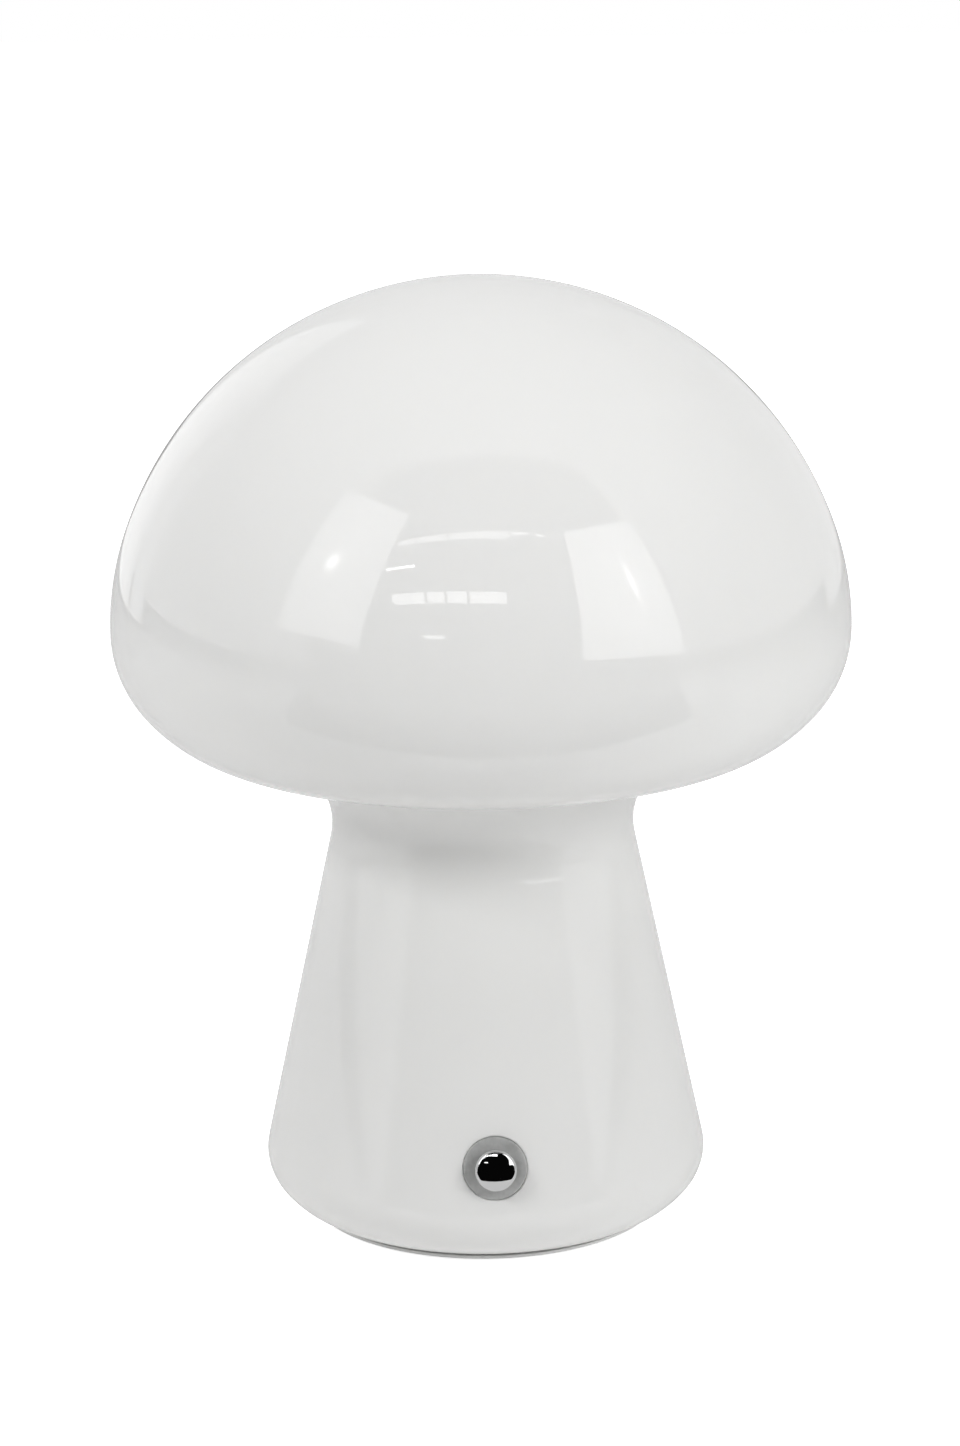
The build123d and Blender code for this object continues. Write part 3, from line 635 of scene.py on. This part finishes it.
def turnedPiece(name, profile, finish, segments):
    edges = [(step, step + 1) for step in range(len(profile) - 1)]
    mesh = plainMesh(name + "Profile", [(reach, 0, height) for reach, height in profile], edges)
    values = {"Segments": segments, "Weld": turning["weld"], "Finish": finishes[finish]}
    piece = applyTree(name, mesh, spinProfile, values)
    smoothMesh(piece.data, turning["sharp"])
    return piece


def dress(piece, body, slotName, *replaced):
    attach(piece, body)
    if replaced:
        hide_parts(*replaced)


# The glass: one turned shell with a hole at the front and one at the rear
glass = {"height": 0.2325, "capRadius": 0.090, "crownExcess": 0.0012, "shoulderRadius": 0.071,
         "rimRadius": 0.0284, "rimSweep": 39.5, "undersideRadius": 0.036, "neckFillet": 0.0181,
         "stemLean": 12.3, "baseRadius": 0.055, "heelRadius": 0.011, "heelSweep": 37.0,
         "openingRadius": 0.0365, "lipWidth": 0.003, "lipRound": 0.0004, "soleLift": 0.001, "wall": 0.0032,
         "holeHeight": 0.0267, "holeRadius": 0.0077, "holeRound": 0.0004, "holeSteps": 5, "patch": 0.0094,
         "patchDepth": 0.0008, "segments": 240, "step": 0.0022, "innerStep": 0.00352, "fewestSteps": 6,
         "touching": 1e-5, "rounds": 12, "sharp": 50}
lean = math.radians(glass["stemLean"])


def glassArcs(g):  # centre, radius, first and last direction, 1 convex, -1 hollow
    sweep, heelSweep = math.radians(g["rimSweep"]), math.radians(g["heelSweep"])
    crownRadius = g["capRadius"] + g["crownExcess"]
    crownZ = g["height"] - crownRadius
    side = g["capRadius"] - g["shoulderRadius"]
    rise = math.sqrt((crownRadius - g["shoulderRadius"]) ** 2 - side ** 2)
    shoulderZ, crownEnd = crownZ + rise, math.atan2(rise, side)
    step = g["undersideRadius"] - g["rimRadius"]
    underX = g["capRadius"] - g["rimRadius"] - step * math.cos(sweep)
    underZ = shoulderZ + step * math.sin(sweep)
    flat, heelX = g["openingRadius"] + g["lipWidth"], g["baseRadius"] - g["heelRadius"]
    soleRadius = g["heelRadius"] + (heelX - flat) / math.cos(heelSweep)
    heelZ = g["soleLift"] + soleRadius + (g["heelRadius"] - soleRadius) * math.sin(heelSweep)
    outX, outZ = math.cos(lean), math.sin(lean)
    startX = heelX + (g["heelRadius"] + g["neckFillet"]) * outX
    startZ = heelZ + (g["heelRadius"] + g["neckFillet"]) * outZ
    toX, toZ = startX - underX, startZ - underZ
    along = -toX * outZ + toZ * outX
    away = toX ** 2 + toZ ** 2 - (g["undersideRadius"] + g["neckFillet"]) ** 2
    climb = -along - math.sqrt(along ** 2 - away)
    neckX, neckZ = startX - climb * outZ, startZ + climb * outX
    underEnd = math.atan2(neckZ - underZ, neckX - underX)
    return [((0, crownZ), crownRadius, math.pi / 2, crownEnd, 1),
            ((side, shoulderZ), g["shoulderRadius"], crownEnd, 0, 1),
            ((g["capRadius"] - g["rimRadius"], shoulderZ), g["rimRadius"], 0, -sweep, 1),
            ((underX, underZ), g["undersideRadius"], -sweep, underEnd, 1),
            ((neckX, neckZ), g["neckFillet"], underEnd + math.pi, math.pi + lean, -1),
            ((heelX, heelZ), g["heelRadius"], lean, -heelSweep, 1),
            ((flat, g["soleLift"] + soleRadius), soleRadius, -heelSweep, -math.pi / 2, 1)]


arcs = glassArcs(glass)
neckHeight = arcs[4][0][1]
(heelX, heelZ), heelRadius = arcs[5][:2]
stemFoot = (heelX + heelRadius * math.cos(lean), heelZ + heelRadius * math.sin(lean))
holeReach = stemFoot[0] - (glass["holeHeight"] - stemFoot[1]) * math.tan(lean)


def glassOutline(g, inset, step):  # from the top of the cap to the flat sole
    points = []
    for centre, radius, first, last, bulge in arcs:
        reach = radius - bulge * inset
        count = max(g["fewestSteps"], math.ceil(abs(last - first) * reach / step))
        run = arcPoints(centre, reach, first, last, count)
        if points:  # touching arcs share a point, others have a straight between
            (ax, az), (bx, bz) = points[-1], run[0]
            gap = math.dist(points[-1], run[0])
            pieces = math.ceil(gap / step) if gap > g["touching"] else 0
            points += [(ax + (bx - ax) * k / pieces, az + (bz - az) * k / pieces) for k in range(1, pieces)]
            run = run if pieces else run[1:]
        points += run
    points[0] = (0.0, points[0][1])
    return points


def glassProfile(g):
    outer = glassOutline(g, 0, g["step"])
    inner = glassOutline(g, g["wall"], g["innerStep"])[::-1]
    low, high, soft = g["soleLift"], g["soleLift"] + g["wall"], g["lipRound"]
    reach = g["openingRadius"] + soft
    lip = arcPoints((reach, low + soft), soft, -math.pi / 2, -math.pi, count=4)
    lip += arcPoints((reach, high - soft), soft, math.pi, math.pi / 2, count=4)
    return outer + lip + inner


def holeFrame(sign):  # sign -1 is the front, +1 the rear; Z of this frame points out
    out = Vector((0, sign * math.cos(lean), math.sin(lean)))
    right = Vector((-sign, 0, 0))
    matrix = Matrix((right, out.cross(right), out)).transposed().to_4x4()
    matrix.translation = Vector((0, sign * holeReach, glass["holeHeight"]))
    return matrix


def onStem(matrix, x, y, inset):  # the stem's face, before or behind a point of the hole's plane
    depth = -inset
    for _ in range(glass["rounds"]):  # settles after a few
        point = matrix @ Vector((x, y, depth))
        wanted = holeReach - (point.z - glass["holeHeight"]) * math.tan(lean) - inset / math.cos(lean)
        depth += (wanted - math.hypot(point.x, point.y)) * math.cos(lean)
    return matrix @ Vector((x, y, depth))


def openFace(work, matrix, g, inset, radius):  # a round opening in one face of the wall; returns its edge
    back = matrix.inverted()
    doomed = []
    for face in work.faces:
        spot = back @ face.calc_center_median()
        if max(abs(spot.x), abs(spot.y)) > g["patch"]:
            continue
        onFace = back @ onStem(matrix, spot.x, spot.y, inset)
        if abs(onFace.z - spot.z) < g["patchDepth"]:
            doomed.append(face)
    edges = dict.fromkeys(edge for face in doomed for edge in face.edges)
    rim = [edge for edge in edges if sum(face in doomed for face in edge.link_faces) == 1]
    bmesh.ops.delete(work, geom=doomed, context="FACES")
    ring = [rim[0].verts[0]]
    while rim:  # puts the rim's corners in order
        edge = next(edge for edge in rim if ring[-1] in edge.verts)
        rim.remove(edge)
        ring.append(edge.other_vert(ring[-1]))
    ring.pop()
    loops = [ring]
    starts = [(back @ vert.co).xy for vert in ring]
    for step in range(1, g["holeSteps"] + 1):  # narrows the ragged rim to the round hole
        spots = [start.lerp(start.normalized() * radius, step / g["holeSteps"]) for start in starts]
        loops.append([work.verts.new(onStem(matrix, *spot, inset)) for spot in spots])
    joinLoops(work, *loops)
    return loops[-1]


def pierce(work, matrix, g):  # a round hole with a polished edge through both faces
    outerLoop = openFace(work, matrix, g, 0, g["holeRadius"] + g["holeRound"])
    innerLoop = openFace(work, matrix, g, g["wall"], g["holeRadius"])
    starts = [matrix.inverted() @ vert.co for vert in outerLoop]
    loops = [outerLoop]
    for step in range(1, g["holeSteps"] + 1):  # a quarter round from the face into the hole
        turn = step / g["holeSteps"] * math.pi / 2
        reach = g["holeRadius"] + g["holeRound"] * (1 - math.sin(turn))
        drop = g["holeRound"] * (1 - math.cos(turn))
        spots = [Vector((*start.xy.normalized() * reach, start.z - drop)) for start in starts]
        loops.append([work.verts.new(matrix @ spot) for spot in spots])
    joinLoops(work, *loops)
    joined = loops[-1] + innerLoop
    sides = [edge for edge in work.edges if edge.is_boundary and all(vert in joined for vert in edge.verts)]
    bmesh.ops.bridge_loops(work, edges=sides)


def makeGlass(g):
    shell = turnedPiece("glassShell", glassProfile(g), "opalGlass", g["segments"])
    work = bmesh.new()
    work.from_mesh(shell.data)
    for sign in (-1, 1):
        pierce(work, holeFrame(sign), g)
    work.to_mesh(shell.data)
    work.free()
    smoothMesh(shell.data, g["sharp"])
    dress(shell, "lamp", "opal_glass", "glass_body")
    return shell


glassShell = makeGlass(glass)
print("glass turned:", len(glassShell.data.polygons), "faces")


# The push button: a turned chrome head on its shank
button = {"radius": 0.005, "sphere": 0.015, "edge": 0.0011, "side": 0.0018, "underside": 0.0023,
          "round": 0.0002, "shank": 0.0025, "shankEnd": -0.01015, "rivet": 0.001, "rivetEnd": -0.01125,
          "domeSteps": 24, "edgeSteps": 12, "segments": 96}


def makeButton(b):
    middle = b["underside"] + b["side"] - math.sqrt(b["sphere"] ** 2 - b["radius"] ** 2)
    reach = b["sphere"] - b["edge"]
    turn = math.acos((b["radius"] - b["edge"]) / reach)
    edge = (reach * math.cos(turn), middle + reach * math.sin(turn))
    profile = arcPoints((0, middle), b["sphere"], math.pi / 2, turn, b["domeSteps"])
    profile += arcPoints(edge, b["edge"], turn, 0, b["edgeSteps"])[1:]
    low = (b["radius"] - b["round"], b["underside"] + b["round"])
    profile += arcPoints(low, b["round"], 0, -math.pi / 2)
    profile += [(b["shank"], b["underside"]), (b["shank"], b["shankEnd"]), (b["rivet"], b["shankEnd"])]
    profile += [(b["rivet"], b["rivetEnd"]), (0.0, b["rivetEnd"])]
    profile[0] = (0.0, middle + b["sphere"])
    head = turnedPiece("chromeButton", profile, "buttonChrome", b["segments"])
    head.data.transform(holeFrame(-1))
    dress(head, "button", "button_chrome", "button_cap")


makeButton(button)
print("button turned")


# Switch sleeve: a threaded barrel with a rounded collar under the button
sleeve = {"radius": 0.004, "bore": 0.00256, "boreEdge": 0.0001, "collar": 0.0046, "back": -0.0101,
          "face": -0.0004, "front": 0.001, "round": 0.00035, "pitch": 0.00075, "groove": 0.00016,
          "segments": 72}


def makeSleeve(v):
    bore, front, soft, root = v["bore"], v["front"], v["round"], v["radius"] - v["groove"]
    profile = [(bore, v["back"]), (root, v["back"])]
    height = v["back"]
    while height + v["pitch"] < v["face"]:
        profile += [(v["radius"], height + v["pitch"] * 0.5), (root, height + v["pitch"])]
        height += v["pitch"]
    profile += [(root, v["face"]), (v["collar"] - soft / 2, v["face"])]
    low = (v["collar"] - soft / 2, v["face"] + soft / 2)
    profile += arcPoints(low, soft / 2, -math.pi / 2, 0, count=3)[1:]
    profile += arcPoints((v["collar"] - soft, front - soft), soft, 0, math.pi / 2)
    profile += [(bore + v["boreEdge"], front), (bore, front - v["boreEdge"]), (bore, v["back"])]
    piece = turnedPiece("threadedSleeve", profile, "sleeveChrome", v["segments"])
    piece.data.transform(holeFrame(-1))
    dress(piece, "lamp", "sleeve_chrome", "switch_sleeve")


makeSleeve(sleeve)


# Return spring: a coil with a closed turn at each end, built at rest
spring = {"coil": 0.0015, "wire": 0.00025, "base": -0.0162, "top": -0.01095, "turns": 6.5, "closed": 1.0,
          "closedRise": 0.00051, "steps": 28, "sides": 10, "travel": 0.001, "sharp": 50}


def makeSpring(v):
    low, high, closed = v["base"] + v["wire"], v["top"] - v["wire"], v["closed"]
    openTurns = v["turns"] - 2 * closed
    pitch = (high - low - 2 * closed * v["closedRise"]) / openTurns
    work = bmesh.new()
    loops = []
    for step in range(round(v["turns"] * v["steps"]) + 1):
        turn = step / v["steps"]
        active = min(max(turn - closed, 0), openTurns)
        height = low + active * pitch + (turn - active) * v["closedRise"]
        outward = Vector((math.cos(math.tau * turn), math.sin(math.tau * turn), 0))
        along = Vector((-outward.y, outward.x, pitch / (math.tau * v["coil"]))).normalized()
        across = along.cross(outward)
        middle = outward * v["coil"] + Vector((0, 0, height))
        spots = [middle + (outward * math.cos(a) + across * math.sin(a)) * v["wire"]
                 for a in roundAngles(v["sides"])]
        loops.append([work.verts.new(spot) for spot in spots])
    joinLoops(work, *loops)
    for end in (loops[0], loops[-1]):
        work.faces.new(end)
    piece = pieceFrom("returnSpring", work, "springSteel", v["sharp"])
    matrix = holeFrame(-1)
    piece.data.transform(matrix)
    dress(piece, "lamp", "spring_steel", "switch_spring")
    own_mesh(piece)


makeSpring(spring)
print("spring coiled")


# Silicone rings: loops lofted from the opening out to the hole, then along the glass's inner face.
# "lip" is how far out and how far below the face a row lies, as shares. "waves" is how often the edge waves
# in one round, where each wave starts and how strong it is
rings = {"rim": 0.00765, "face": -0.0004, "crown": 0.00016, "crownSteps": 10, "crownAtRim": 0.4,
         "round": 0.00045, "roundSteps": 6, "lip": ((0, 1), (0.01, 0.5), (0.04, 0.1)), "back": -0.0056,
         "flange": 0.00185, "seat": 0.00325, "soft": 0.0003, "sleeveHole": 0.00405, "slotHalfWidth": 0.00452,
         "slotHalfHeight": 0.00168, "wobble": 0.00004, "waves": ((3, 1.0, 1.0), (7, 2.2, 0.6)),
         "segments": 144, "sharp": 50}


def ringRows(r):  # share of the way out, reach past the rim, depth or None
    face, back, soft, flange = r["face"], r["back"], r["soft"], r["flange"]
    rows = [(0, 0, back)] + [(share, 0, face - soft * below) for share, below in r["lip"]]
    for step in range(1, r["crownSteps"] - 1):
        share = step / r["crownSteps"]
        rows.append((share, 0, face + r["crown"] * math.sin(math.pi * share)))
    for step in range(1, r["roundSteps"] + 1):
        turn = step / r["roundSteps"] * math.pi / 2
        rise = r["crown"] * r["crownAtRim"] - r["round"] * (1 - math.cos(turn))
        rows.append((1, r["round"] * (math.sin(turn) - 1), face + rise))
    rows += [(1, 0, None), (1, flange - soft, None), (1, flange, back + soft * 2), (1, flange - soft, back)]
    return rows


def makeRing(name, sign, openingAt, nodeName, r):
    matrix = holeFrame(sign)
    work = bmesh.new()
    loops = []
    for share, extra, depth in ringRows(r):
        loop = []
        for angle in roundAngles(r["segments"]):
            reach = openingAt(angle) * (1 - share) + r["rim"] * share + extra
            if extra < 0:  # only the visible edge is uneven
                waves = (much * math.sin(often * angle + at) for often, at, much in r["waves"])
                reach += r["wobble"] * sum(waves)
            x, y = reach * math.cos(angle), reach * math.sin(angle)
            spot = onStem(matrix, x, y, r["seat"]) if depth is None else matrix @ Vector((x, y, depth))
            loop.append(work.verts.new(spot))
        loops.append(loop)
    joinLoops(work, *loops, loops[0])
    piece = pieceFrom(name, work, "clearSilicone", r["sharp"])
    dress(piece, "lamp", "clear_silicone", nodeName)


def slotReach(angle):  # from the middle of a slot with round ends to its boundary
    half, high = rings["slotHalfWidth"] - rings["slotHalfHeight"], rings["slotHalfHeight"]
    across, up = abs(math.cos(angle)), abs(math.sin(angle))
    if up * half >= across * high:
        return high / up
    inside = half * across
    return inside + math.sqrt(inside * inside - half * half + high * high)


makeRing("buttonGrommet", -1, lambda angle: rings["sleeveHole"], "button_ring", rings)
makeRing("portGrommet", 1, slotReach, "port_ring", rings)
print("silicone rings lofted")


# Charging socket: gold contacts on both faces of the tongue
contacts = {"count": 12, "pitch": 0.0005, "width": 0.00027, "length": 0.0032, "thickness": 0.00004,
            "tongueHalf": 0.00035, "tip": -0.0016}


def contactTree():
    tree, given = startTree("contactRow", Pitch="Float", Width="Float", Length="Float", Thickness="Float",
                            Count="Int")
    step = tree.make("ShaderNodeCombineXYZ", inputs={"X": given.out("Pitch")})
    half = (given.out("Count") - 1) * given.out("Pitch") * -0.5
    start = tree.make("ShaderNodeCombineXYZ", inputs={"X": half})
    steps = {"Count": given.out("Count"), "Start Location": start, "Offset": step}
    line = tree.make("GeometryNodeMeshLine", inputs=steps)
    size = {"X": given.out("Width"), "Y": given.out("Thickness"), "Z": given.out("Length")}
    bar = tree.make("GeometryNodeMeshCube", inputs={"Size": tree.make("ShaderNodeCombineXYZ", inputs=size)})
    row = tree.make("GeometryNodeInstanceOnPoints", inputs={"Points": line, "Instance": bar})
    rows = tree.make("GeometryNodeInstanceOnPoints", inputs={"Points": given, "Instance": row})
    return endTree(tree, given, rows)


def makeContacts(c):
    off = c["tongueHalf"] + c["thickness"] / 2
    mesh = plainMesh("contactRows", [(0, side * off, c["tip"] - c["length"] / 2) for side in (-1, 1)])
    values = {"Pitch": c["pitch"], "Width": c["width"], "Length": c["length"], "Thickness": c["thickness"],
              "Count": c["count"], "Finish": finishes["contactBrass"]}
    piece = applyTree("portContacts", mesh, contactTree(), values)
    piece.data.transform(holeFrame(1))
    dress(piece, "lamp", "contact_brass")


makeContacts(contacts)


# Foot ring: rounded edges and fine grip grooves on the face that meets the table
footRing = {"outer": 0.0356, "inner": 0.0298, "top": 0.0012, "round": 0.00035, "grooves": 5,
            "groove": 0.00012, "grooveHalf": 0.00022, "segments": 180}


def makeFootRing(v):
    outer, inner, soft = v["outer"], v["inner"], v["round"]
    profile = [(inner, v["top"]), (outer, v["top"])]
    profile += arcPoints((outer - soft, soft), soft, 0, -math.pi / 2)
    step = (outer - inner - 2 * soft) / (v["grooves"] + 1)
    for number in range(1, v["grooves"] + 1):
        middle = outer - soft - number * step
        profile += [(middle + v["grooveHalf"], 0), (middle, v["groove"]), (middle - v["grooveHalf"], 0)]
    profile += arcPoints((inner + soft, soft), soft, -math.pi / 2, -math.pi)
    profile.append((inner, v["top"]))
    piece = turnedPiece("footRing", profile, "footSilicone", v["segments"])
    dress(piece, "lamp", "foot_silicone", "foot_pad")


makeFootRing(footRing)
print("foot ring turned")


# Screws: one crosshead screw of each size, set three times round the column's axis by a geometry tree. Sizes
# are the shank's and the head's radius, the head's height and the length; "from" is the first one's angle
columnRise = 0.0091  # of the column's top over the middle of the neck's hollow
columnTop = neckHeight + columnRise
screwSets = {
    "clip": {"sizes": (0.0015, 0.0026, 0.0016, 0.0032), "ring": 0.0327, "from": 30, "seat": 0.0028,
             "way": "up"},
    "column": {"sizes": (0.0015, 0.0026, 0.0016, 0.0041), "ring": 0.0144, "from": 0, "seat": 0.0019,
               "way": "up"},
    "cover": {"sizes": (0.00125, 0.0022, 0.0014, 0.0093), "ring": 0.026, "from": 0, "seat": 0.0017,
              "way": "up"},
    "board": {"sizes": (0.0011, 0.002, 0.0015, 0.0056), "ring": 0.0181, "from": 60, "seat": 0.0106,
              "way": "down"},
    "light": {"sizes": (0.001, 0.0019, 0.0013, 0.0032), "ring": 0.008, "from": 90,
              "seat": columnTop + 0.0041, "way": "down"},
    "spigot": {"sizes": (0.00125, 0.0022, 0.0009, 0.0048), "ring": 0.012, "from": 75,
               "seat": columnTop - 0.003, "way": "in"},
}
screwShape = {"copies": 3, "sides": 24, "edge": 0.0003, "arm": 0.62, "armHalf": 0.16, "depth": 0.55,
              "narrow": 0.6, "pitch": 0.0006, "thread": 0.00014, "sharp": 30}


def screwTree():
    tree, given = startTree("placeScrews", Screw="Object")
    source = tree.make("GeometryNodeObjectInfo", inputs={"Object": given.out("Screw")}, output="Geometry")
    axis = tree.make("GeometryNodeInputNamedAttribute", {"data_type": "FLOAT_VECTOR"}, {"Name": "axis"})
    turned = tree.make("FunctionNodeAlignRotationToVector", {"axis": "Z"}, {"Vector": axis})
    copies = {"Points": given, "Instance": source, "Rotation": turned}
    return endTree(tree, given, tree.make("GeometryNodeInstanceOnPoints", inputs=copies))


def screwSource(sizes, v):  # stands on its head's underside, the shank up
    shank, head, high, length = sizes
    profile = arcPoints((head - v["edge"], -high + v["edge"]), v["edge"], -math.pi / 2, 0, count=4)
    profile += [(head, 0), (shank - v["thread"], 0)]
    rise = v["pitch"] / 2
    while rise < length - v["pitch"]:
        profile += [(shank, rise), (shank - v["thread"], rise + v["pitch"] / 2)]
        rise += v["pitch"]
    profile += [(shank - v["thread"] * 2, length), (0, length)]
    work = bmesh.new()
    loops = []
    for reach, height in profile:
        angles = roundAngles(v["sides"] if reach > 0 else 1)
        loops.append([work.verts.new((reach * math.cos(a), reach * math.sin(a), height)) for a in angles])
    joinLoops(work, *loops)
    arm, half = v["arm"] * head, v["armHalf"] * head
    cross = []
    for turn in roundAngles(4):  # three corners for each arm
        c, s = math.cos(turn), math.sin(turn)
        cross += [(x * c - y * s, x * s + y * c) for x, y in ((arm, -half), (arm, half), (half, half))]
    mouth = [work.verts.new((x, y, -high)) for x, y in cross]
    floor = [work.verts.new((x * v["narrow"], y * v["narrow"], -high * (1 - v["depth"]))) for x, y in cross]
    joinLoops(work, mouth, floor)
    work.faces.new(floor)
    edges = [work.edges.get((loop[k - 1], loop[k])) for loop in (mouth, loops[0]) for k in range(len(loop))]
    bmesh.ops.triangle_fill(work, edges=edges, use_beauty=True)
    return pieceFrom("screwSource", work, "screwSteel", v["sharp"])


def makeScrews(group, v):
    for name, screws in screwSets.items():
        source = screwSource(screws["sizes"], v)
        spots, axes = [], []
        for turn in roundAngles(v["copies"]):
            angle = turn + math.radians(screws["from"])
            x, y = math.cos(angle), math.sin(angle)
            spots.append((screws["ring"] * x, screws["ring"] * y, screws["seat"]))
            axes += {"up": (0, 0, 1), "down": (0, 0, -1), "in": (-x, -y, 0)}[screws["way"]]
        mesh = plainMesh(name + "ScrewSet", spots)
        mesh.attributes.new("axis", "FLOAT_VECTOR", "POINT").data.foreach_set("vector", axes)
        values = {"Screw": source, "Finish": finishes["screwSteel"]}
        piece = applyTree(name + "ScrewSet", mesh, group, values)
        bpy.data.objects.remove(source)
        smoothMesh(piece.data, v["sharp"])
        dress(piece, "lamp", "screw_steel", name + "_screws")


makeScrews(screwTree(), screwShape)
print("screws placed")
